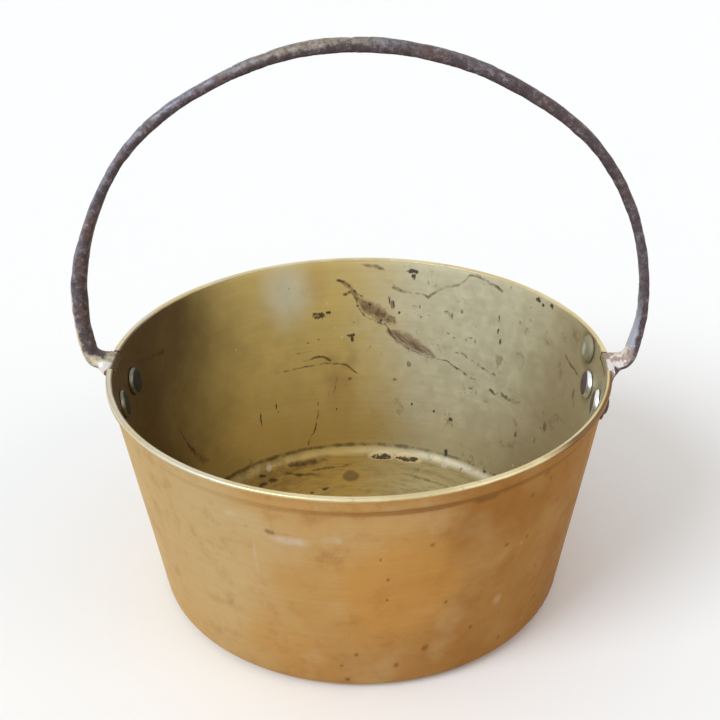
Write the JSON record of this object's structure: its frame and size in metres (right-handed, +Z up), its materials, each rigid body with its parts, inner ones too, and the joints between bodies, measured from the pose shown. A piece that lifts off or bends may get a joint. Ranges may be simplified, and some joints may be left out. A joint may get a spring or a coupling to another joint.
{
  "type": "jam kettle",
  "caption": "Wide conical brass preserving pan with a rolled lip and a fixed forged iron bail handle whose palms are riveted to the wall.",
  "frame": {"origin": "centre of the flat underside of the pan, on the surface it stands on", "axes": "+Z up along the pan's axis; the bow of the handle stands in the plane y = 0, and +Y is the side towards which the rivet nearest the rim lies"},
  "size_m": [0.344, 0.305, 0.3447],
  "materials": {
    "pan_brass": "satin, aged",
    "handle_iron": "forged, worn dark",
    "rivet_metal": "worn satin"
  },
  "bodies": {
    "root": {"pan": "pan_brass", "handle": "handle_iron", "rivet_right_rim": "rivet_metal", "rivet_right_back": "rivet_metal", "rivet_right_front": "rivet_metal", "rivet_left_back": "rivet_metal", "rivet_left_front": "rivet_metal"}
  },
  "joints": []
}
